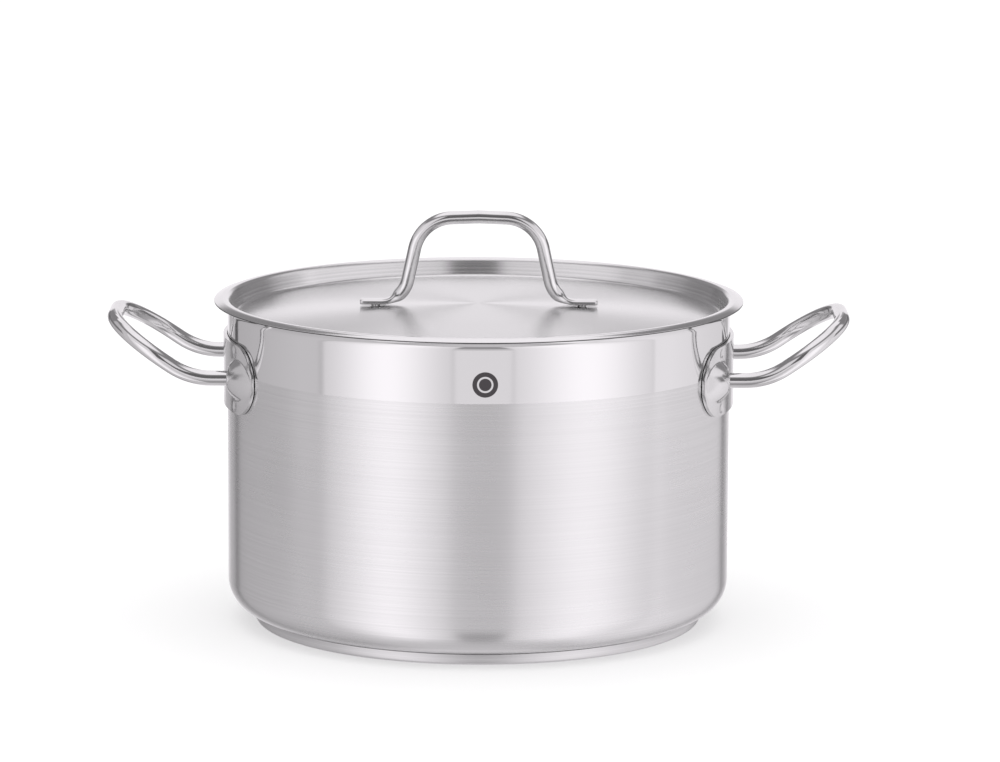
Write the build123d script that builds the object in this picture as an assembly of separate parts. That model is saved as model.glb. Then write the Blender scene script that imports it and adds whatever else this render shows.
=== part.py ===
from build123d import *
import math
import os

os.makedirs("parts", exist_ok=True)

# Stock pot with a lift-off lid. Millimetres. The origin is the centre of the base's underside,
# +Z is up, and +X runs through both side handles.

# Pot body, spun from one sheet.
body_radius = 141.0
body_sheet = 1.0
floor_level = 6.2
corner_radius = 18.0
lip_start = 177.8
lip_bend = 5.0
lip_reach = 2.4
lip_height = 181.95

# Capsule base: an aluminium disc inside a stainless cap.
base_radius = 126.0
cap_sheet = 0.7
cap_corner = 2.2
capsule_gap = 0.05

# Side handles.
rod_diameter = 8.5
leg_offset = 47.0
handle_level = 144.2
leg_root = 135.2
leg_bend_x = 160.0
bend_radius = 40.0
crossbar_x = 203.4
crossbar_level = 173.4
crossbar_corner = 36.0

# Plate that carries each side handle on the pot wall.
plate_gap = 0.3
plate_sheet = 2.0
plate_half_width = 70.5
plate_bottom = 124.5
plate_top = 163.5
plate_corner = 19.4
boss_face_x = 138.7
boss_face_radius = 8.5
boss_foot_width = 21.5
boss_foot_height = 17.0
boss_foot_x = 126.0
rod_hole_gap = 0.1
weld_bead = 1.1
weld_toe = 0.1

# Spot welds between plate and wall, as sideways offset and level.
spot_places = [(48.0, 128.6), (48.0, 159.4), (11.0, 130.0), (11.0, 158.0)]
spot_radius = 2.4

# Cutters run past the sheet they cut by this much.
cut_past = 20.0

# Lid.
lid_sheet = 0.9
lid_centre_height = 179.5
lid_crown_rise = 5.0
lid_crown_reach = 120.0
gutter_radius = 3.0
lid_wall_foot = 136.8
lid_wall_top = 140.6
lid_bend_radius = 2.5
flange_level = 183.05
flange_knee = 144.2
flange_radius = 148.45
flange_edge_level = 181.72

# Lid handle.
lid_rod_diameter = 7.4
lid_leg_foot = 42.6
lid_leg_top = 32.6
lid_shoulder_level = 226.4
lid_arch_level = 228.9
lid_foot_level = 180.25
lid_foot_end = 66.6
lid_foot_width = 11.0
lid_foot_thickness = 2.8
lid_foot_corner = 1.8
lid_foot_edge = 0.6
lid_foot_overlap = 1.5
lid_spot_x = 58.0
lid_spot_sink = 0.4
lid_foot_bend = 15.0
lid_shoulder = 22.0
lid_arch = 200.0

# Oval sections of the bend above each foot, as width and thickness, from the flat foot to the round rod.
foot_bend_sections = [
    (10.4, lid_foot_thickness),
    (10.0, 4.0),
    (8.8, 6.2),
    (lid_rod_diameter, lid_rod_diameter),
]


def sheet_turned(centre_line, thickness):
    """Revolve a sheet of the given thickness that follows a line drawn in the XZ plane."""
    profile = trace(centre_line, line_width=thickness)
    return revolve(Plane.XZ * profile, axis=Axis.Z).solid()


def filleted(points, radii):
    """Edges that join points with straight lines and round each inner corner."""
    corners = [Vector(*point) for point in points]
    edges = []
    start = corners[0]
    for index, radius in enumerate(radii, start=1):
        corner = corners[index]
        back = (corners[index - 1] - corner).normalized()
        ahead = (corners[index + 1] - corner).normalized()
        half_angle = math.acos(back.dot(ahead)) / 2
        reach = radius / math.tan(half_angle)
        middle = (back + ahead).normalized() * (radius / math.sin(half_angle) - radius)
        enter = corner + back * reach
        leave = corner + ahead * reach
        edges.append(Line(start, enter))
        edges.append(ThreePointArc(enter, corner + middle, leave))
        start = leave
    edges.append(Line(start, corners[-1]))
    return edges


def rod_along(path, diameter):
    """Sweep a round rod along a path."""
    section = Plane(origin=path @ 0, z_dir=path % 0) * Circle(diameter / 2)
    return sweep(section, path=path, transition=Transition.RIGHT)


def build_pot_body():
    """Floor, rounded corner, straight wall and outward lip in one sheet."""
    radius = body_radius - body_sheet / 2
    level = floor_level + body_sheet / 2
    points = [
        (0, level),
        (radius, level),
        (radius, lip_start),
        (radius + lip_reach, lip_height),
    ]
    line = filleted(points, [corner_radius - body_sheet / 2, lip_bend])
    return sheet_turned(Wire(line), body_sheet)


def build_base_cap():
    """Shallow stainless cup under the floor, which the pot stands on."""
    radius = base_radius - cap_sheet / 2
    points = [(0, cap_sheet / 2), (radius, cap_sheet / 2), (radius, floor_level - capsule_gap)]
    return sheet_turned(Wire(filleted(points, [cap_corner])), cap_sheet)


def build_heat_spreader_disc():
    """Thick aluminium disc that fills the base cap."""
    radius = base_radius - cap_sheet - capsule_gap
    bottom = cap_sheet + capsule_gap
    height = floor_level - capsule_gap - bottom
    disc = Pos(0, 0, bottom) * Cylinder(radius, height, align=(Align.CENTER, Align.CENTER, Align.MIN))
    lower_edge = disc.edges().sort_by(Axis.Z)[0]
    return fillet(lower_edge, cap_corner - cap_sheet / 2)


def build_handle_rod(side):
    """Round bar with two legs that rise to a crossbar; side is -1 for left and 1 for right."""
    near = [
        (leg_root, -leg_offset, handle_level),
        (leg_bend_x, -leg_offset, handle_level),
        (crossbar_x, -leg_offset, crossbar_level),
    ]
    far = [(x, -y, z) for x, y, z in reversed(near)]
    points = [(side * x, y, z) for x, y, z in near + far]
    path = filleted(points, [bend_radius, crossbar_corner, crossbar_corner, bend_radius])
    return rod_along(Wire(path), rod_diameter)


def boss_cone(inset):
    """The raised boss round one rod end as a solid cone, shrunk by the inset."""
    face = Plane(origin=(boss_face_x - inset, 0, handle_level), z_dir=(1, 0, 0), x_dir=(0, 1, 0))
    foot = Plane(origin=(boss_foot_x, 0, handle_level), z_dir=(1, 0, 0), x_dir=(0, 1, 0))
    top = face * Circle(boss_face_radius - inset / 2)
    bottom = foot * Ellipse(boss_foot_width - inset, boss_foot_height - inset)
    return loft([bottom.face(), top.face()])


def plate_blank():
    """The flat oblong outline of the plate, cut from a band that follows the pot wall."""
    inner = body_radius + plate_gap
    width = plate_half_width * 2
    height = plate_top - plate_bottom
    middle = (plate_top + plate_bottom) / 2
    outline = Plane(origin=(0, 0, middle), z_dir=(1, 0, 0), x_dir=(0, 1, 0))
    oblong = extrude(outline * RectangleRounded(width, height, plate_corner), amount=inner + cut_past)
    tall = height + cut_past
    band = Pos(0, 0, middle) * (Cylinder(inner + plate_sheet, tall) - Cylinder(inner, tall))
    return oblong & band


def build_handle_plate(side):
    """Pressed plate with a hollow boss and a rod hole at each leg."""
    plate = plate_blank()
    wall = Pos(0, 0, handle_level) * Cylinder(body_radius + plate_gap, plate_top - plate_bottom + cut_past)
    places = [Pos(0, offset, 0) for offset in (-leg_offset, leg_offset)]
    for place in places:
        plate += (place * boss_cone(0)) - wall
    for place in places:
        plate -= place * boss_cone(plate_sheet)
    hole = Cylinder(rod_diameter / 2 + rod_hole_gap, 2 * cut_past, rotation=(0, 90, 0))
    for place in places:
        plate -= place * Pos(boss_face_x, 0, handle_level) * hole
    solid = plate.solids().sort_by(SortBy.VOLUME)[-1]
    return solid if side > 0 else mirror(solid, about=Plane.YZ)


def build_handle_welds(side):
    """A fillet bead round each rod where it leaves its boss."""
    beads = []
    inner = rod_diameter / 2
    for offset in (-leg_offset, leg_offset):
        ring = Plane(origin=(boss_face_x, offset, handle_level), z_dir=(1, 0, 0))
        bead = ring * Cone(
            inner + weld_bead, inner + weld_toe, weld_bead, align=(Align.CENTER, Align.CENTER, Align.MIN)
        )
        bead -= ring * Cylinder(inner, cut_past)
        beads.append(bead if side > 0 else mirror(bead, about=Plane.YZ))
    return Compound(beads)


def build_plate_spot_welds(side):
    """Weld nuggets that fill the gap between the pot wall and the plate."""
    nuggets = []
    tall = 2 * plate_top + cut_past
    gap = Cylinder(body_radius + plate_gap, tall) - Cylinder(body_radius, tall)
    for offset, level in spot_places:
        for sign in (-1, 1):
            turn = math.degrees(math.asin(sign * offset / body_radius))
            pin = Pos(0, 0, level) * Rot(0, 0, turn) * Pos(body_radius, 0, 0)
            nugget = (pin * Cylinder(spot_radius, cut_past, rotation=(0, 90, 0))) & gap
            nuggets.append(nugget if side > 0 else mirror(nugget, about=Plane.YZ))
    return Compound(nuggets)


def lid_surface(radius):
    """Height of the crowned lid's upper face at a distance from the centre."""
    dome = (lid_crown_reach**2 + lid_crown_rise**2) / (2 * lid_crown_rise)
    return lid_centre_height - dome + math.sqrt(dome**2 - radius**2)


def build_lid_pan():
    """Crowned plate, gutter, short sloping wall and flange in one pressed sheet."""
    half = lid_sheet / 2
    gutter_level = lid_surface(lid_wall_foot) - half
    plate_end = lid_wall_foot - gutter_radius
    crown = ThreePointArc(
        (0, lid_centre_height - half),
        (plate_end / 2, lid_surface(plate_end / 2) - half),
        (plate_end, lid_surface(plate_end) - half),
    )
    points = [
        (plate_end, lid_surface(plate_end) - half),
        (lid_wall_foot, gutter_level),
        (lid_wall_top, flange_level),
        (flange_knee, flange_level),
        (flange_radius, flange_edge_level),
    ]
    rest = filleted(points, [gutter_radius, lid_bend_radius, gutter_radius])
    return sheet_turned(Wire([crown] + rest), lid_sheet)


def lid_handle_path():
    """Edges of the handle's centre line: foot, bend, leg, shoulder, arch, and back down."""
    right = [
        (lid_foot_end, 0, lid_foot_level),
        (lid_leg_foot, 0, lid_foot_level),
        (lid_leg_top, 0, lid_shoulder_level),
    ]
    left = [(-x, y, z) for x, y, z in reversed(right)]
    points = right + [(0, 0, lid_arch_level)] + left
    return filleted(points, [lid_foot_bend, lid_shoulder, lid_arch, lid_shoulder, lid_foot_bend])


def flattened_bend(edge, sizes):
    """Loft oval sections, given as width and thickness, evenly along one bend."""
    sections = []
    for index, (width, thickness) in enumerate(sizes):
        place = index / (len(sizes) - 1)
        plane = Plane(origin=edge @ place, z_dir=edge % place, x_dir=(0, 1, 0))
        sections.append((plane * Ellipse(width / 2, thickness / 2)).face())
    return loft(sections)


def lid_foot(edge):
    """Flat strap at one end of the handle, with a rounded tip."""
    middle = edge @ 0.5
    length = abs((edge @ 1).X - (edge @ 0).X) + lid_foot_overlap
    outline = RectangleRounded(length, lid_foot_width, lid_foot_corner)
    strap = extrude(outline, amount=lid_foot_thickness / 2, both=True)
    strap = fillet(strap.faces().sort_by(Axis.Z)[-1].edges(), lid_foot_edge)
    return Pos(middle.X - math.copysign(lid_foot_overlap / 2, middle.X), 0, middle.Z) * strap


def build_lid_handle():
    """Round bar arched over the lid, flattened at both ends into feet."""
    right_foot, right_bend, *bar, left_bend, left_foot = lid_handle_path()
    handle = rod_along(Wire(bar), lid_rod_diameter)
    handle += flattened_bend(right_bend, foot_bend_sections)
    handle += flattened_bend(left_bend, foot_bend_sections[::-1])
    handle += lid_foot(right_foot)
    handle += lid_foot(left_foot)
    return handle.solids().sort_by(SortBy.VOLUME)[-1]


def build_lid_handle_spot_welds(handle, lid):
    """Nuggets between the lid and each foot."""
    nuggets = []
    for side in (-1, 1):
        level = lid_surface(lid_spot_x) - lid_spot_sink
        pin = Pos(side * lid_spot_x, 0, level) * Cylinder(
            spot_radius, lid_foot_level - level, align=(Align.CENTER, Align.CENTER, Align.MIN)
        )
        nuggets.append((pin - handle - lid).solids().sort_by(SortBy.VOLUME)[-1])
    return Compound(nuggets)


def save(shape, node):
    """Write one node's STEP file."""
    export_step(shape, f"parts/{node}.step")


def main():
    """Build and write every node."""
    save(build_pot_body(), "pot_body")
    save(build_heat_spreader_disc(), "heat_spreader_disc")
    save(build_base_cap(), "base_cap")
    for side, word in ((-1, "left"), (1, "right")):
        save(build_handle_rod(side), f"{word}_handle_rod")
        save(build_handle_plate(side), f"{word}_handle_plate")
        save(build_handle_welds(side), f"{word}_handle_welds")
        save(build_plate_spot_welds(side), f"{word}_plate_spot_welds")
    lid = build_lid_pan()
    handle = build_lid_handle()
    save(lid, "lid_pan")
    save(handle, "lid_handle")
    save(build_lid_handle_spot_welds(handle, lid), "lid_handle_spot_welds")


main()
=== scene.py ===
import bmesh
import bpy
import math
from mathutils import Matrix, Vector


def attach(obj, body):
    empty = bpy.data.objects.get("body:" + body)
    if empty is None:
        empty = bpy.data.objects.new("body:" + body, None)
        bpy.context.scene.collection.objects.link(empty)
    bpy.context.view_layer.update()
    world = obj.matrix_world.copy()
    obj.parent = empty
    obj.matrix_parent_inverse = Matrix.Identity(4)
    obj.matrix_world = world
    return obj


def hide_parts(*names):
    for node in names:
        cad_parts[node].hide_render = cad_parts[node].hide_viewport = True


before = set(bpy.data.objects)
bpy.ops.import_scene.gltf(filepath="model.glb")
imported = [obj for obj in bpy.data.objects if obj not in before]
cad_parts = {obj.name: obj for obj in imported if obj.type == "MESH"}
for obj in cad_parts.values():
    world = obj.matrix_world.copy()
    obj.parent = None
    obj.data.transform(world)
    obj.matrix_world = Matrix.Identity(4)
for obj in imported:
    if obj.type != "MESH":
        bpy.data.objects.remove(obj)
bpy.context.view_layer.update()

# A stainless stock pot with a lift-off lid. Lengths are in millimetres, and MM turns them into metres.
MM = 0.001

# Pot shell.
BODY_RADIUS = 141.0
BODY_SHEET = 1.0
FLOOR_LEVEL = 6.2
BODY_CORNER = 18.0
LIP_START = 177.8
LIP_BEND = 5.0
LIP_REACH = 2.4
LIP_HEIGHT = 181.75

# Lower edge of the mirror-polished band, and how far it wanders.
POLISH_LEVEL = 147.3
POLISH_SOFT = 0.25
POLISH_WANDER = 0.4

# Etched mark on the front of the band. It lies on the outer face only, outside MARK_FRONT.
MARK_X = 4.2
MARK_LEVEL = 157.8
MARK_RADIUS = 6.9
MARK_RING_OUT = 4.4
MARK_RING_IN = 3.4
MARK_SOFT = 0.08
MARK_FRONT = 0.7 - BODY_RADIUS

# Base cap.
BASE_RADIUS = 126.0
CAP_SHEET = 0.7
CAP_CORNER = 2.2
CAP_TOP = 6.15

# Side handles.
ROD_DIAMETER = 8.5
LEG_OFFSET = 47.0
HANDLE_LEVEL = 144.2
LEG_ROOT = 135.2
LEG_BEND_X = 160.0
LEG_BEND_RADIUS = 40.0
CROSSBAR_X = 203.4
CROSSBAR_LEVEL = 173.4
CROSSBAR_CORNER = 36.0

# Plate that carries each side handle, with a boss round each leg. The boss is a rounded cone.
PLATE_INNER = 141.3
PLATE_SHEET = 2.0
PLATE_HALF_WIDTH = 70.5
PLATE_BOTTOM = 124.5
PLATE_TOP = 163.5
PLATE_CORNER = 19.4
PLATE_EDGE = 0.45
PLATE_CELLS = (200, 60)
BOSS_FACE_X = 138.7
BOSS_FACE_RADIUS = 8.5
BOSS_HALF_WIDTH = 23.0
BOSS_HALF_HEIGHT = 17.5
BOSS_DEPTH = 13.5
BOSS_HOLLOW = 1.35
BOSS_BLEND = 1.2

# Dimples that spot welding leaves in each plate, as sideways offset and level.
SPOT_PLACES = [(48.0, 128.6), (48.0, 159.4)]
SPOT_RADIUS = 2.6
SPOT_DEPTH = 0.45

# Weld bead, as distance out from its inner face and height along the rod.
BEAD_SINK = 0.2
BEAD_OUTLINE = [(0.0, -0.6), (1.1, -0.6), (1.1, 0.0), (0.65, 0.15), (0.4, 0.4), (0.0, 1.0)]
BEAD_TURNS = 48

# Lid. Its plate is a shallow dome.
LID_SHEET = 0.9
LID_CENTRE = 179.5
LID_DOME = 1442.5
CROWN_STEPS = 24
GUTTER_BEND = 3.0
LID_WALL_FOOT = 136.8
LID_WALL_TOP = 140.6
LID_BEND = 2.5
FLANGE_LEVEL = 183.05
FLANGE_KNEE = 144.2
FLANGE_RADIUS = 148.45
FLANGE_EDGE = 181.72

# Lid handle. Its ends are flattened into feet with rounded tips.
LID_ROD = 7.4
LID_LEG_FOOT = 42.6
LID_LEG_TOP = 32.6
LID_SHOULDER_LEVEL = 226.4
LID_ARCH_LEVEL = 228.9
LID_FOOT_LEVEL = 180.25
LID_FOOT_END = 66.6
LID_FOOT_WIDTH = 11.0
LID_FOOT_THICKNESS = 2.8
LID_FOOT_BEND = 15.0
LID_SHOULDER = 22.0
LID_ARCH = 200.0
FLATTENED_RISE = 4.0
FOOT_SQUARENESS = 0.5
TIP_LENGTH = 1.6
TIP_STEPS = (0.25, 0.8, TIP_LENGTH)
TIP_NARROWING = 1.6
TIP_THINNING = 0.5

# Fineness of the meshes: facets round the pot and round a bar, and how close, in metres, points merge.
TURNS = 256
ROD_SIDES = 32
MERGE_DISTANCE = 1e-6

# Patterns of the finishes. Real brushing has about 20 lines to the millimetre, too fine to show, so it
# is drawn coarser. Coarse patterns are given by their size, some as so many to a metre.
WALL_LINES_PER_MM = 1.4
WALL_LINE_LENGTH = 1000 / 3
WALL_SCUFFS_PER_MM = 0.9
WALL_SCUFF_LENGTH = 200.0
WALL_PATCH = 1000 / 9
BASE_RINGS_PER_MM = 1.4
LID_RINGS_PER_MM = 2.6
LID_PATCH = 1000 / 14
BAR_PATCH = 1000 / 70
BAR_MARKS_PER_MM = 0.9

# Lid finishes, in metres: where the flange's polish starts, and the inner and upper ends of the dark sheared
# edge, a rough cut edge darkened further as painted shade of the gap under the flange.
FLANGE_POLISH = ((LID_WALL_TOP - 0.5) * MM, (LID_WALL_TOP + 0.8) * MM)
SHEARED_AND_SHADED_OUT = ((FLANGE_RADIUS - 0.35) * MM, (FLANGE_RADIUS - 0.25) * MM)
SHEARED_AND_SHADED_TOP = ((FLANGE_EDGE + 0.1) * MM, (FLANGE_EDGE + 0.2) * MM)

# Ranges of noise values. The values hardly leave the first; the others start higher, so that patches
# stand apart and scuffs stay few.
NOISE_RANGE = (0.3, 0.7)
PATCH_RANGE = (0.35, 0.7)
WALL_SCUFF_RANGE = (0.45, 0.8)
BAR_MARK_RANGE = (0.5, 0.8)

# Turning the highlight by a quarter spreads it across the brushing.
QUARTER_TURN = 0.25

# Settings of a MapRange node that eases in and out.
SMOOTH = {"interpolation_type": "SMOOTHSTEP"}

# Camera, in metres and degrees, with its lens in millimetres.
CAMERA_PLACE = (0.0121, -2.9538, 0.6588)
CAMERA_TARGET = (0.0121, 0, 0.13502)
CAMERA_ROLL = 0.265
CAMERA_LENS = 191.8


# ---------- lines and sections ----------

def rounded_line(points, radii, turn_step=6.0, margin=0.4):
    """Points along a line whose inner corners are rounded, with a close pair at each end of a bend."""
    corners = [Vector(p) for p in points]
    line = [corners[0]]
    for corner, before, after, radius in zip(corners[1:], corners, corners[2:], radii):
        back = (before - corner).normalized()
        ahead = (after - corner).normalized()
        half = back.angle(ahead) / 2
        reach = radius / math.tan(half)
        centre = corner + (back + ahead).normalized() * (radius / math.sin(half))
        first = corner + back * reach - centre
        last = corner + ahead * reach - centre
        turn = first.angle(last)
        count = max(2, round(math.degrees(turn) / turn_step))
        line.append(centre + first + back * margin)
        for k in range(count + 1):
            share = k / count
            blend = first * math.sin((1 - share) * turn) + last * math.sin(share * turn)
            line.append(centre + blend / math.sin(turn))
        line.append(centre + last + ahead * margin)
    line.append(corners[-1])
    return line


def even_steps(line, longest=2.5):
    """Add points along the straights, so that neighbouring rings of a bar stay close."""
    filled = [line[0]]
    for before, after in zip(line, line[1:]):
        count = max(1, math.ceil((after - before).length / longest))
        filled += [before.lerp(after, k / count) for k in range(1, count + 1)]
    return filled


def sheet_section(line, thickness, edge_steps=6):
    """Outline of a sheet that follows a line from the axis outwards, with a rounded free edge."""
    half = thickness / 2
    upper = []
    lower = []
    for index, point in enumerate(line):
        before = line[max(index - 1, 0)]
        after = line[min(index + 1, len(line) - 1)]
        along = (after - before).normalized()
        if index == 0:
            along = Vector((1, 0))
        across = Vector((-along.y, along.x)) * half
        upper.append(point + across)
        lower.append(point - across)
    end = line[-1]
    along = (line[-1] - line[-2]).normalized()
    across = Vector((-along.y, along.x))
    edge = []
    for k in range(1, edge_steps):
        angle = math.pi * k / edge_steps
        edge.append(end + (across * math.cos(angle) + along * math.sin(angle)) * half)
    return upper + edge + lower[::-1]


def smooth_share(value, low, high):
    """0 below low, 1 above high, and a smooth step between them."""
    share = min(max((value - low) / (high - low), 0.0), 1.0)
    return share * share * (3 - 2 * share)


def squared(value, power):
    """Push a point of a circle out towards its square; power 1 keeps the circle."""
    return math.copysign(abs(value) ** power, value)


def directions(line):
    """The line's direction at each of its points."""
    pairs = zip([line[0]] + line[:-1], line[1:] + [line[-1]])
    return [(after - before).normalized() for before, after in pairs]


# ---------- meshes ----------

def finish_mesh(bm, name):
    """Turn the working mesh into an object; only the many-sided end caps stay flat."""
    bmesh.ops.remove_doubles(bm, verts=bm.verts, dist=MERGE_DISTANCE)
    bmesh.ops.recalc_face_normals(bm, faces=bm.faces)
    for face in bm.faces:
        face.smooth = len(face.verts) <= 4
    mesh = bpy.data.meshes.new(name)
    bm.to_mesh(mesh)
    bm.free()
    piece = bpy.data.objects.new(name, mesh)
    bpy.context.scene.collection.objects.link(piece)
    return piece


def spin_outline(bm, verts, centre, axis, steps, closed):
    """Join vertices into an outline and revolve it a full turn."""
    edges = [bm.edges.new(pair) for pair in zip(verts, verts[1:])]
    if closed:
        edges.append(bm.edges.new((verts[-1], verts[0])))
    full = 2 * math.pi
    bmesh.ops.spin(bm, geom=verts + edges, cent=centre, axis=axis, angle=full, steps=steps, use_merge=True)


def spun(name, outline):
    """Revolve an outline of (radius, height) points about the Z axis."""
    bm = bmesh.new()
    verts = [bm.verts.new((p.x * MM, 0, p.y * MM)) for p in outline]
    spin_outline(bm, verts, (0, 0, 0), (0, 0, 1), TURNS, outline[0].x > 0)
    return finish_mesh(bm, name)


def swept(name, stations):
    """Skin a bar through stations of (centre, direction, side, width, thickness, squareness)."""
    bm = bmesh.new()
    rings = []
    last = len(stations) - 1
    for index, (centre, along, side, width, thickness, power) in enumerate(stations):
        up = along.cross(side)
        capped = index in (0, last)
        ring = bmesh.ops.create_circle(bm, cap_ends=capped, segments=ROD_SIDES, radius=1.0)["verts"]
        for vert in ring:
            across = squared(vert.co.x, power) * width / 2
            rise = squared(vert.co.y, power) * thickness / 2
            vert.co = (centre + side * across + up * rise) * MM
        rings.append({e for v in ring for e in v.link_edges})
    for first, second in zip(rings, rings[1:]):
        bmesh.ops.bridge_loops(bm, edges=list(first | second))
    return finish_mesh(bm, name)


def pot_shell():
    """Floor, corner, wall and outward lip in one spun sheet."""
    radius = BODY_RADIUS - BODY_SHEET / 2
    level = FLOOR_LEVEL + BODY_SHEET / 2
    points = [(0, level), (radius, level), (radius, LIP_START), (radius + LIP_REACH, LIP_HEIGHT)]
    line = rounded_line(points, [BODY_CORNER - BODY_SHEET / 2, LIP_BEND])
    return spun("pot_shell", sheet_section(line, BODY_SHEET))


def base_shell():
    """Shallow cap that the pot stands on."""
    radius = BASE_RADIUS - CAP_SHEET / 2
    points = [(0, CAP_SHEET / 2), (radius, CAP_SHEET / 2), (radius, CAP_TOP - CAP_SHEET / 2)]
    line = rounded_line(points, [CAP_CORNER], turn_step=10)
    return spun("base_shell", sheet_section(line, CAP_SHEET))


def lid_height(radius):
    """Height of the lid's domed upper face at a distance from the axis."""
    return LID_CENTRE - LID_DOME + math.sqrt(LID_DOME**2 - radius**2)


def lid_shell():
    """Domed plate, gutter, short wall and flange in one spun sheet."""
    half = LID_SHEET / 2
    plate_end = LID_WALL_FOOT - GUTTER_BEND
    radii = [plate_end * k / CROWN_STEPS for k in range(CROWN_STEPS)]
    crown = [Vector((radius, lid_height(radius) - half)) for radius in radii]
    points = [
        (plate_end, lid_height(plate_end) - half),
        (LID_WALL_FOOT, lid_height(LID_WALL_FOOT) - half),
        (LID_WALL_TOP, FLANGE_LEVEL),
        (FLANGE_KNEE, FLANGE_LEVEL),
        (FLANGE_RADIUS - half, FLANGE_EDGE),
    ]
    line = rounded_line(points, [GUTTER_BEND, LID_BEND, GUTTER_BEND], turn_step=8, margin=0.25)
    return spun("lid_shell", sheet_section(crown + line, LID_SHEET))


def handle_rod(side, name):
    """Round bar with two legs that rise to a crossbar; side is -1 for left and 1 for right."""
    near = [
        (LEG_ROOT, -LEG_OFFSET, HANDLE_LEVEL),
        (LEG_BEND_X, -LEG_OFFSET, HANDLE_LEVEL),
        (CROSSBAR_X, -LEG_OFFSET, CROSSBAR_LEVEL),
    ]
    far = [(x, -y, z) for x, y, z in reversed(near)]
    points = [(side * x, y, z) for x, y, z in near + far]
    radii = [LEG_BEND_RADIUS, CROSSBAR_CORNER, CROSSBAR_CORNER, LEG_BEND_RADIUS]
    line = even_steps(rounded_line(points, radii, turn_step=4))
    stations = []
    across = Vector((0, 0, 1))
    for centre, along in zip(line, directions(line)):
        across = (across - along * across.dot(along)).normalized()
        stations.append((centre, along, across, ROD_DIAMETER, ROD_DIAMETER, 1.0))
    return swept(name, stations)


def lid_handle_line():
    """Centre line of the lid handle, with close points where the tips of its feet are rounded."""
    right = [
        (LID_FOOT_END, 0, LID_FOOT_LEVEL),
        (LID_LEG_FOOT, 0, LID_FOOT_LEVEL),
        (LID_LEG_TOP, 0, LID_SHOULDER_LEVEL),
    ]
    left = [(-x, y, z) for x, y, z in reversed(right)]
    points = right + [(0, 0, LID_ARCH_LEVEL)] + left
    radii = [LID_FOOT_BEND, LID_SHOULDER, LID_ARCH, LID_SHOULDER, LID_FOOT_BEND]
    line = rounded_line(points, radii, turn_step=5)
    right_tip = [Vector((LID_FOOT_END - step, 0, LID_FOOT_LEVEL)) for step in TIP_STEPS]
    left_tip = [Vector((-tip.x, 0, tip.z)) for tip in reversed(right_tip)]
    return even_steps([line[0]] + right_tip + line[1:-1] + left_tip + [line[-1]])


def lid_handle():
    """Round bar whose feet are flattened into straps that lie on the lid."""
    line = lid_handle_line()
    side = Vector((0, 1, 0))
    stations = []
    for centre, along in zip(line, directions(line)):
        flat = 1 - smooth_share(centre.z, LID_FOOT_LEVEL, LID_FOOT_LEVEL + FLATTENED_RISE)
        tip = max(abs(centre.x) - (LID_FOOT_END - TIP_LENGTH), 0) / TIP_LENGTH
        cut = 1 - math.sqrt(max(1 - tip**2, 0.0))
        width = LID_ROD + (LID_FOOT_WIDTH - LID_ROD) * flat - TIP_NARROWING * cut
        thickness = LID_ROD + (LID_FOOT_THICKNESS - LID_ROD) * flat - TIP_THINNING * cut
        power = 1.0 - FOOT_SQUARENESS * flat
        stations.append((centre, along, side, width, thickness, power))
    return swept("lid_bar", stations)


def boss_height(y, z):
    """How far out, along X, the raised boss round a rod end reaches."""
    reach = math.hypot((abs(y) - LEG_OFFSET) / BOSS_HALF_WIDTH, (z - HANDLE_LEVEL) / BOSS_HALF_HEIGHT)
    face = BOSS_FACE_RADIUS / BOSS_HALF_WIDTH
    fall = max(reach - face, 0.0) / (1 - face)
    return BOSS_FACE_X - BOSS_DEPTH * fall**BOSS_HOLLOW


def plate_height(y, z):
    """How far out the plate's face reaches: the wrapped sheet and a boss, blended where they meet."""
    wall = math.sqrt((PLATE_INNER + PLATE_SHEET) ** 2 - y**2)
    boss = boss_height(y, z)
    peak = max(wall, boss)
    sheet_part = math.exp((wall - peak) / BOSS_BLEND)
    boss_part = math.exp((boss - peak) / BOSS_BLEND)
    height = peak + BOSS_BLEND * math.log(sheet_part + boss_part)
    height -= BOSS_BLEND * math.log(2) * math.exp(-abs(wall - boss) / BOSS_BLEND)
    for spot_y, spot_z in SPOT_PLACES:
        distance = math.hypot(abs(y) - spot_y, z - spot_z)
        height -= SPOT_DEPTH * (1 - smooth_share(distance, SPOT_RADIUS * 0.5, SPOT_RADIUS * 1.2))
    return height


def handle_plate(side, name):
    """Pressed plate: an oblong grid wrapped on the wall, with two bosses and the spot-weld dimples."""
    middle = (PLATE_TOP + PLATE_BOTTOM) / 2
    straight = PLATE_HALF_WIDTH - PLATE_CORNER
    bm = bmesh.new()
    columns, rows = PLATE_CELLS
    for vert in bmesh.ops.create_grid(bm, x_segments=columns, y_segments=rows, size=1.0)["verts"]:
        rise = vert.co.y * math.pi / 2
        y = vert.co.x * (straight + PLATE_CORNER * math.cos(rise))
        z = middle + PLATE_CORNER * math.sin(rise)
        vert.co = Vector((side * plate_height(y, z), y, z)) * MM
    plate = finish_mesh(bm, name)
    middle_face = plate.data.polygons[len(plate.data.polygons) // 2]
    if middle_face.normal.x * side < 0:
        plate.data.flip_normals()
    sheet = plate.modifiers.new("sheet", "SOLIDIFY")
    sheet.thickness = PLATE_SHEET * MM
    sheet.offset = -1
    sheet.use_even_offset = True
    edge = plate.modifiers.new("edge", "BEVEL")
    edge.width = PLATE_EDGE * MM
    edge.segments = 3
    edge.limit_method = "ANGLE"
    edge.angle_limit = math.radians(50)
    return plate


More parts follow.
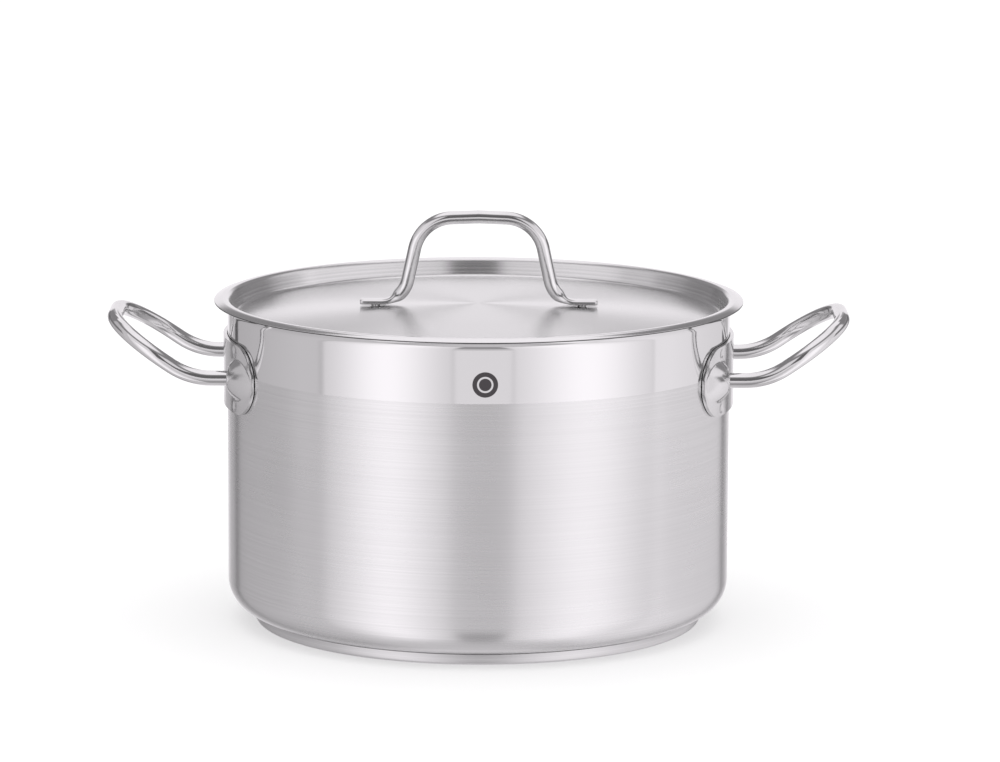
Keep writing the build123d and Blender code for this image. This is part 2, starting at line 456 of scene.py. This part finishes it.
def weld_beads(side, name):
    """Two small concave collars where the rods leave their bosses."""
    bm = bmesh.new()
    inner = ROD_DIAMETER / 2 - BEAD_SINK
    for offset in (-LEG_OFFSET, LEG_OFFSET):
        place = Matrix.Translation(Vector((side * BOSS_FACE_X, offset, HANDLE_LEVEL)) * MM)
        place = place @ Matrix.Rotation(side * math.pi / 2, 4, "Y")
        verts = []
        for out, height in BEAD_OUTLINE:
            verts.append(bm.verts.new(place @ Vector(((inner + out) * MM, 0, height * MM))))
        spin_outline(bm, verts, place.translation, (1, 0, 0), BEAD_TURNS, True)
    return finish_mesh(bm, name)


# ---------- materials ----------

def srgb(code):
    """A hex colour as linear values."""
    parts = [int(code[k:k + 2], 16) / 255 for k in (0, 2, 4)]
    linear = [p / 12.92 if p <= 0.04045 else ((p + 0.055) / 1.055) ** 2.4 for p in parts]
    return (*linear, 1.0)


def add(tree, kind, inputs=(), **settings):
    """Add a node with its settings, and fill or link its inputs, given in order or by name.

    A node given as an input stands for its first output. In a MapRange node the inputs in order are
    the value, the range it comes from and the range that it is turned into. A Mix node has several
    inputs of one name, so they go by number: 0 is the share, 2 and 3 are plain values to mix, and 6
    and 7 are colours, whose mix is output 2.
    """
    node = tree.nodes.new("ShaderNode" + kind)
    for key, value in settings.items():
        setattr(node, key, value)
    pairs = inputs.items() if isinstance(inputs, dict) else enumerate(inputs)
    for key, value in pairs:
        if isinstance(value, bpy.types.Node):
            value = value.outputs[0]
        if isinstance(value, bpy.types.NodeSocket):
            tree.links.new(value, node.inputs[key])
        else:
            node.inputs[key].default_value = value
    return node


def new_material(name):
    """An empty node material with its object coordinates, whole and split."""
    material = bpy.data.materials.new(name)
    material.use_nodes = True
    tree = material.node_tree
    tree.nodes.clear()
    position = add(tree, "TexCoord").outputs["Object"]
    split = add(tree, "SeparateXYZ", [position])
    return material, tree, position, split


def turned_tangent(tree, position):
    """Direction round the pot's axis, which the brushing and the lathe follow."""
    across = add(tree, "VectorMath", [(0.0, 0.0, 1.0), position], operation="CROSS_PRODUCT")
    return add(tree, "VectorMath", [across], operation="NORMALIZE")


def distance_from_axis(tree, split):
    """How far a point is from the pot's axis."""
    flat = add(tree, "CombineXYZ", {"X": split.outputs["X"], "Y": split.outputs["Y"]})
    return add(tree, "VectorMath", [flat], operation="LENGTH").outputs["Value"]


def etched_mark(tree, split):
    """Mask of a plain round mark on the front of the band: a dark disc with one ring left bright."""
    across = add(tree, "Math", [split.outputs["X"], MARK_X * MM], operation="SUBTRACT")
    rise = add(tree, "Math", [split.outputs["Z"], MARK_LEVEL * MM], operation="SUBTRACT")
    offset = add(tree, "CombineXYZ", {"X": across, "Y": rise})
    away = add(tree, "VectorMath", [offset], operation="LENGTH").outputs["Value"]
    within = []
    for radius in (MARK_RADIUS, MARK_RING_OUT, MARK_RING_IN):
        edge = ((radius - MARK_SOFT) * MM, (radius + MARK_SOFT) * MM)
        within.append(add(tree, "MapRange", [away, *edge, 1.0, 0.0], **SMOOTH))
    disc, ring_out, ring_in = within
    ring = add(tree, "Math", [ring_out, ring_in], operation="SUBTRACT")
    dark = add(tree, "Math", [disc, ring], operation="SUBTRACT")
    front = add(tree, "Math", [split.outputs["Y"], MARK_FRONT * MM], operation="LESS_THAN")
    return add(tree, "Math", [front, dark], operation="MULTIPLY")


def brushed_lines(tree, split, length, lines_per_mm):
    """Noise drawn out into lines round the axis, on the wall and on the flat floor alike."""
    radius = distance_from_axis(tree, split)
    down = add(tree, "Math", [split.outputs["Z"], radius], operation="ADD")
    unrolled = add(tree, "CombineXYZ", {"X": split.outputs["X"], "Y": split.outputs["Y"], "Z": down})
    scale = (1 / (length * MM), 1 / (length * MM), lines_per_mm / MM)
    scaled = add(tree, "Mapping", {"Vector": unrolled, "Scale": scale})
    return add(tree, "TexNoise", {"Vector": scaled, "Scale": 1.0, "Detail": 2.0, "Roughness": 0.6})


def turned_rings(tree, place, rings_per_mm):
    """Fine rings left by a lathe or a turning brush, by one measure across them."""
    scaled = add(tree, "Math", [place, rings_per_mm / MM], operation="MULTIPLY")
    return add(tree, "TexNoise", {"W": scaled, "Scale": 1.0, "Detail": 3.0}, noise_dimensions="1D")


def body_material():
    """Satin stainless wall, brushed round and round, with a mirror-polished band below the rim.

    The eye sees soft upright bands of light on the satin, and sharp reflections in the band.
    """
    material, tree, position, split = new_material("stainless_steel_satin_brushed_with_polished_rim")
    tangent = turned_tangent(tree, position)
    fine = brushed_lines(tree, split, WALL_LINE_LENGTH, WALL_LINES_PER_MM)
    broad = brushed_lines(tree, split, WALL_SCUFF_LENGTH, WALL_SCUFFS_PER_MM)
    cloud = add(tree, "TexNoise", {"Vector": position, "Scale": 1 / (WALL_PATCH * MM), "Detail": 3.0})

    light = add(tree, "MapRange", [fine, *NOISE_RANGE, 0.0, 1.0], **SMOOTH)
    lined = add(tree, "Mix", {0: light, 6: srgb("DADADA"), 7: srgb("DFDFDF")}, data_type="RGBA").outputs[2]
    dull = add(tree, "MapRange", [cloud, *PATCH_RANGE, 0.0, 0.35], **SMOOTH)
    tone = add(tree, "Mix", {0: dull, 6: lined, 7: srgb("D6D6D6")}, data_type="RGBA").outputs[2]
    line_rough = add(tree, "MapRange", [broad, *NOISE_RANGE, 0.25, 0.262], **SMOOTH)
    patch_rough = add(tree, "MapRange", [cloud, *NOISE_RANGE, 0.0, 0.03], **SMOOTH)
    satin = add(tree, "BsdfPrincipled", {
        "Base Color": tone,
        "Metallic": 1.0,
        "Roughness": add(tree, "Math", [line_rough, patch_rough], operation="ADD"),
        "Anisotropic": 0.85,
        "Anisotropic Rotation": QUARTER_TURN,
        "Tangent": tangent,
        "Normal": add(tree, "Bump", {"Strength": 0.03, "Distance": 0.01 * MM, "Height": fine}),
    })

    haze = add(tree, "MapRange", [cloud, *NOISE_RANGE, 0.05, 0.08], **SMOOTH)
    scuffs = add(tree, "MapRange", [broad, *WALL_SCUFF_RANGE, 0.0, 0.03], **SMOOTH)
    polished = add(tree, "BsdfPrincipled", {
        "Base Color": srgb("DFDFDF"),
        "Metallic": 1.0,
        "Roughness": add(tree, "Math", [haze, scuffs], operation="ADD"),
        "Anisotropic": 0.3,
        "Anisotropic Rotation": QUARTER_TURN,
        "Tangent": tangent,
    })
    etched = add(tree, "BsdfPrincipled", {"Base Color": srgb("5A5759"), "Metallic": 1.0, "Roughness": 0.55})
    marked = add(tree, "MixShader", [etched_mark(tree, split), polished, etched])

    wander = add(tree, "Math", [broad, 0.5], operation="SUBTRACT")
    level = add(tree, "Math", [wander, POLISH_WANDER * MM, split.outputs["Z"]], operation="MULTIPLY_ADD")
    edge = ((POLISH_LEVEL - POLISH_SOFT) * MM, (POLISH_LEVEL + POLISH_SOFT) * MM)
    band = add(tree, "MapRange", [level, *edge, 0.0, 1.0], **SMOOTH)
    add(tree, "OutputMaterial", [add(tree, "MixShader", [band, satin, marked])])
    return material


def base_material():
    """Stainless base cap, turned on a lathe: the eye sees faint rings, duller than the wall."""
    material, tree, position, split = new_material("stainless_steel_turned_base")
    radius = distance_from_axis(tree, split)
    outwards = add(tree, "Math", [radius, split.outputs["Z"]], operation="SUBTRACT")
    rings = turned_rings(tree, outwards, BASE_RINGS_PER_MM)
    light = add(tree, "MapRange", [rings, *NOISE_RANGE, 0.0, 1.0], **SMOOTH)
    tones = {0: light, 6: srgb("CFCFCF"), 7: srgb("D8D8D8")}
    turned = add(tree, "BsdfPrincipled", {
        "Base Color": add(tree, "Mix", tones, data_type="RGBA").outputs[2],
        "Metallic": 1.0,
        "Roughness": add(tree, "MapRange", [rings, *NOISE_RANGE, 0.36, 0.40], **SMOOTH),
        "Anisotropic": 0.5,
        "Anisotropic Rotation": QUARTER_TURN,
        "Tangent": turned_tangent(tree, position),
        "Normal": add(tree, "Bump", {"Strength": 0.05, "Distance": 0.02 * MM, "Height": rings}),
    })
    add(tree, "OutputMaterial", [turned])
    return material


def lid_material():
    """Stainless lid brushed in circles, with a polished flange and a dark sheared edge whose colour is
    partly a rough cut edge and partly painted shade of the gap under the flange.

    The circles gather the light into wedges that meet at the centre. The flange mirrors the room.
    """
    material, tree, position, split = new_material("stainless_steel_circular_brushed_lid")
    tangent = turned_tangent(tree, position)
    radius = distance_from_axis(tree, split)
    rings = turned_rings(tree, radius, LID_RINGS_PER_MM)
    cloud = add(tree, "TexNoise", {"Vector": position, "Scale": 1 / (LID_PATCH * MM), "Detail": 3.0})

    light = add(tree, "MapRange", [rings, *NOISE_RANGE, 0.0, 1.0], **SMOOTH)
    tones = {0: light, 6: srgb("DBDBDB"), 7: srgb("E5E5E5")}
    ring_rough = add(tree, "MapRange", [rings, *NOISE_RANGE, 0.23, 0.26], **SMOOTH)
    patch_rough = add(tree, "MapRange", [cloud, *NOISE_RANGE, 0.0, 0.015], **SMOOTH)
    brushed = add(tree, "BsdfPrincipled", {
        "Base Color": add(tree, "Mix", tones, data_type="RGBA").outputs[2],
        "Metallic": 1.0,
        "Roughness": add(tree, "Math", [ring_rough, patch_rough], operation="ADD"),
        "Anisotropic": 0.85,
        "Anisotropic Rotation": QUARTER_TURN,
        "Tangent": tangent,
    })
    polished = add(tree, "BsdfPrincipled", {
        "Base Color": srgb("E1E1E1"),
        "Metallic": 1.0,
        "Roughness": add(tree, "MapRange", [cloud, *NOISE_RANGE, 0.09, 0.13], **SMOOTH),
        "Anisotropic": 0.4,
        "Anisotropic Rotation": QUARTER_TURN,
        "Tangent": tangent,
    })
    flange = add(tree, "MapRange", [radius, *FLANGE_POLISH, 0.0, 1.0], **SMOOTH)
    both = add(tree, "MixShader", [flange, brushed, polished])

    # Painted shade: the dark colour of the sheared edge stands partly for the rough cut edge and partly for
    # the shadow in the gap under the flange.
    sheared_edge_and_painted_shade = add(tree, "BsdfPrincipled", {"Base Color": srgb("545454"), "Metallic": 1.0, "Roughness": 0.45})
    outermost = add(tree, "MapRange", [radius, *SHEARED_AND_SHADED_OUT, 0.0, 1.0], **SMOOTH)
    below = add(tree, "MapRange", [split.outputs["Z"], *SHEARED_AND_SHADED_TOP, 1.0, 0.0], **SMOOTH)
    edge = add(tree, "Math", [outermost, below], operation="MULTIPLY")
    add(tree, "OutputMaterial", [add(tree, "MixShader", [edge, both, sheared_edge_and_painted_shade])])
    return material


def metal_material(name, smoothest, dullest):
    """Bare metal between two roughnesses: a cloudy shine with faint handling marks in it."""
    material, tree, position, _ = new_material(name)
    cloud = add(tree, "TexNoise", {"Vector": position, "Scale": 1 / (BAR_PATCH * MM), "Detail": 4.0})
    marks = add(tree, "TexNoise", {"Vector": position, "Scale": BAR_MARKS_PER_MM / MM, "Detail": 2.0})
    dull = add(tree, "MapRange", [cloud, *PATCH_RANGE, 0.0, 1.0], **SMOOTH)
    tones = {0: dull, 6: srgb("DFDFDF"), 7: srgb("D8D8D8")}
    shine = add(tree, "MapRange", [cloud, *NOISE_RANGE, smoothest, dullest], **SMOOTH)
    scuffs = add(tree, "MapRange", [marks, *BAR_MARK_RANGE, 0.0, 0.03], **SMOOTH)
    metal = add(tree, "BsdfPrincipled", {
        "Base Color": add(tree, "Mix", tones, data_type="RGBA").outputs[2],
        "Metallic": 1.0,
        "Roughness": add(tree, "Math", [shine, scuffs], operation="ADD"),
        "Normal": add(tree, "Bump", {"Strength": 0.04, "Distance": 0.02 * MM, "Height": marks}),
    })
    add(tree, "OutputMaterial", [metal])
    return material


def table_material():
    """Plain matt white studio table, softly lit from below so that shadows stay pale."""
    material, tree, _, _ = new_material("studio_table_matt_white")
    matt = add(tree, "BsdfDiffuse", {"Color": srgb("F7F7F7")})
    glow = add(tree, "Emission", {"Color": srgb("FFFEFF"), "Strength": 0.95})
    add(tree, "OutputMaterial", [add(tree, "MixShader", [0.45, matt, glow])])
    return material


def coat(piece, material):
    """Give a piece one material."""
    piece.data.materials.clear()
    piece.data.materials.append(material)


# ---------- studio ----------

def studio_world():
    """White room for the camera and the table; panels of light and dark for the metal to reflect.

    Azimuth 0 is where the camera stands and 90 is the pot's right; both angles are in degrees.
    """
    world = bpy.data.worlds.new("studio")
    bpy.context.scene.world = world
    world.use_nodes = True
    tree = world.node_tree
    tree.nodes.clear()
    direction = add(tree, "TexCoord").outputs["Generated"]
    split = add(tree, "SeparateXYZ", [direction])
    to_camera = add(tree, "Math", [split.outputs["Y"], -1.0], operation="MULTIPLY")
    azimuth = add(tree, "Math", [split.outputs["X"], to_camera], operation="ARCTAN2")
    azimuth = add(tree, "Math", [azimuth], operation="DEGREES")
    elevation = add(tree, "Math", [split.outputs["Z"]], operation="ARCSINE")
    elevation = add(tree, "Math", [elevation], operation="DEGREES")
    either_side = add(tree, "Math", [azimuth], operation="ABSOLUTE")

    def panel(level, azimuths, elevations, brightness, soft=2.0, mirrored=False):
        """Lay a soft-edged panel of light or dark over the level so far."""
        turn = either_side if mirrored else azimuth
        mask = add(tree, "MapRange", [turn, azimuths[0] - soft, azimuths[0] + soft, 0.0, 1.0], **SMOOTH)
        for value, start, low, high in (
            (turn, azimuths[1], 1.0, 0.0),
            (elevation, elevations[0], 0.0, 1.0),
            (elevation, elevations[1], 1.0, 0.0),
        ):
            side = add(tree, "MapRange", [value, start - soft, start + soft, low, high], **SMOOTH)
            mask = add(tree, "Math", [mask, side], operation="MULTIPLY")
        return add(tree, "Mix", {0: mask, 2: level, 3: brightness}, data_type="FLOAT")

    def softbox(middle, half_width, centre, edge):
        """Brightness of a softbox, which is brightest in its middle."""
        away = add(tree, "Math", [azimuth, middle], operation="SUBTRACT")
        away = add(tree, "Math", [away], operation="ABSOLUTE")
        return add(tree, "MapRange", [away, 0.0, half_width, centre, edge], **SMOOTH)

    def slope(start, end, first, last):
        """Brightness that changes evenly along the horizon."""
        return add(tree, "MapRange", [azimuth, start, end, first, last])

    low, high = -95, 42
    gap = (-11, 15.8)
    left_box = (-75, -11)
    right_box = (15.8, 87)
    level = 0.5
    # Gap between the softboxes, with a pale patch at the height that the wall mirrors.
    level = panel(level, gap, (low, 3), 0.40)
    level = panel(level, gap, (3, 46), 0.15)
    level = panel(level, gap, (-30, 3), 0.72)
    level = panel(level, gap, (-14, 3), 0.92)
    # Grey side walls, a low dark band and the dark corners between walls.
    level = panel(level, (-150, -76), (low, high), slope(-145.0, -88.0, 0.52, 0.70), 3.0)
    level = panel(level, (86, 152), (low, high), slope(98.0, 148.0, 1.02, 0.80), 3.0)
    level = panel(level, (93, 163), (0, 16), 0.22, 3.0, True)
    level = panel(level, (150, 162), (low, 0), 0.52, 2.0, True)
    level = panel(level, (-149, -144), (low, 10), 0.12, 1.0)
    level = panel(level, (149.5, 154.5), (low, 10), 0.14, 1.0)
    # Back wall, which the lid mirrors: dark to the sides, bright in the middle and along its foot.
    level = panel(level, (163, 190), (low, 56), 0.44, 3.0, True)
    level = panel(level, (122, 168), (16, 58), 0.28, 3.0, True)
    level = panel(level, (163, 190), (low, 14), 0.96, 3.0, True)
    level = panel(level, (176, 190), (12, 60), 1.0, 2.0, True)
    # High bright strips at the back, which the front of the lid's flange mirrors.
    level = panel(level, (165, 190), (34, 64), 1.12, 2.0, True)
    level = panel(level, (138, 190), (48, 64), 1.12, 2.0, True)
    # Two large softboxes beside the camera, and the dimmer wall above them.
    level = panel(level, left_box, (-62, 18), softbox(-42.0, 36.0, 1.31, 0.84))
    level = panel(level, right_box, (-62, 18), softbox(51.0, 42.0, 1.32, 0.88))
    level = panel(level, left_box, (18, high), 0.92, 3.0)
    level = panel(level, right_box, (18, high), 0.92, 3.0)
    # Dark cornice, bright ceiling and pale floor.
    level = panel(level, (-134, 134), (45, 58), 0.28, 3.0)
    level = panel(level, (-190, 190), (62, 100), 1.15, 4.0)
    level = panel(level, (-190, 190), (-100, -66), 0.72, 5.0)

    mirrored_room = add(tree, "Background", {"Color": (1.0, 0.966, 1.0, 1.0), "Strength": level})
    white_room = add(tree, "Background", {"Color": (1.0, 1.0, 1.0, 1.0), "Strength": 1.3})
    glossy = add(tree, "LightPath").outputs["Is Glossy Ray"]
    both = add(tree, "MixShader", [glossy, white_room, mirrored_room])
    add(tree, "OutputWorld", {"Surface": both})


def studio_table():
    """Large pale table top, which the metal doesn't mirror."""
    bm = bmesh.new()
    bmesh.ops.create_circle(bm, cap_ends=True, segments=96, radius=12.0)
    table = finish_mesh(bm, "table")
    table.visible_glossy = False
    coat(table, table_material())


def overhead_lamp():
    """Large soft lamp that gives the pot its faint shadow on the table."""
    data = bpy.data.lights.new("overhead", "AREA")
    data.shape = "DISK"
    data.size = 2.4
    data.energy = 6.0
    lamp = bpy.data.objects.new("overhead", data)
    lamp.location = (0, -0.3, 2.6)
    lamp.visible_camera = False
    lamp.visible_glossy = False
    bpy.context.scene.collection.objects.link(lamp)


def place_camera():
    """Long lens, a little above the lid and square to the front."""
    data = bpy.data.cameras.new("camera")
    data.sensor_width = 36.0
    data.lens = CAMERA_LENS
    data.clip_end = 50
    camera = bpy.data.objects.new("camera", data)
    camera.location = CAMERA_PLACE
    aim = (Vector(CAMERA_TARGET) - camera.location).to_track_quat("-Z", "Y").to_matrix().to_4x4()
    aim = aim @ Matrix.Rotation(math.radians(CAMERA_ROLL), 4, "Z")
    camera.matrix_world = Matrix.Translation(camera.location) @ aim
    bpy.context.scene.collection.objects.link(camera)
    bpy.context.scene.camera = camera


def dress(piece, body, material, node):
    """Put a piece in place of its CAD node, riding on a body, with its finish."""
    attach(piece, body)
    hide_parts(node)
    coat(piece, material)


def main():
    """Build the pot, the lid and the studio."""
    bar = metal_material("stainless_steel_polished_bar", 0.07, 0.11)
    pressing = metal_material("stainless_steel_polished_pressing", 0.12, 0.18)
    weld = metal_material("stainless_steel_brushed_weld", 0.25, 0.35)
    dress(pot_shell(), "pot", body_material(), "pot_body")
    dress(base_shell(), "pot", base_material(), "base_cap")
    dress(lid_shell(), "lid", lid_material(), "lid_pan")
    dress(lid_handle(), "lid", bar, "lid_handle")
    for side, word in ((-1, "left"), (1, "right")):
        dress(handle_rod(side, f"{word}_bar"), "pot", bar, f"{word}_handle_rod")
        dress(handle_plate(side, f"{word}_plate"), "pot", pressing, f"{word}_handle_plate")
        dress(weld_beads(side, f"{word}_beads"), "pot", weld, f"{word}_handle_welds")
        coat(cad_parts[f"{word}_plate_spot_welds"], weld)
    coat(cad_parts["lid_handle_spot_welds"], weld)
    coat(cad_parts["heat_spreader_disc"], metal_material("aluminium_plain_sealed", 0.3, 0.4))
    bpy.context.scene.view_settings.view_transform = "Standard"
    studio_world()
    studio_table()
    overhead_lamp()
    place_camera()


main()
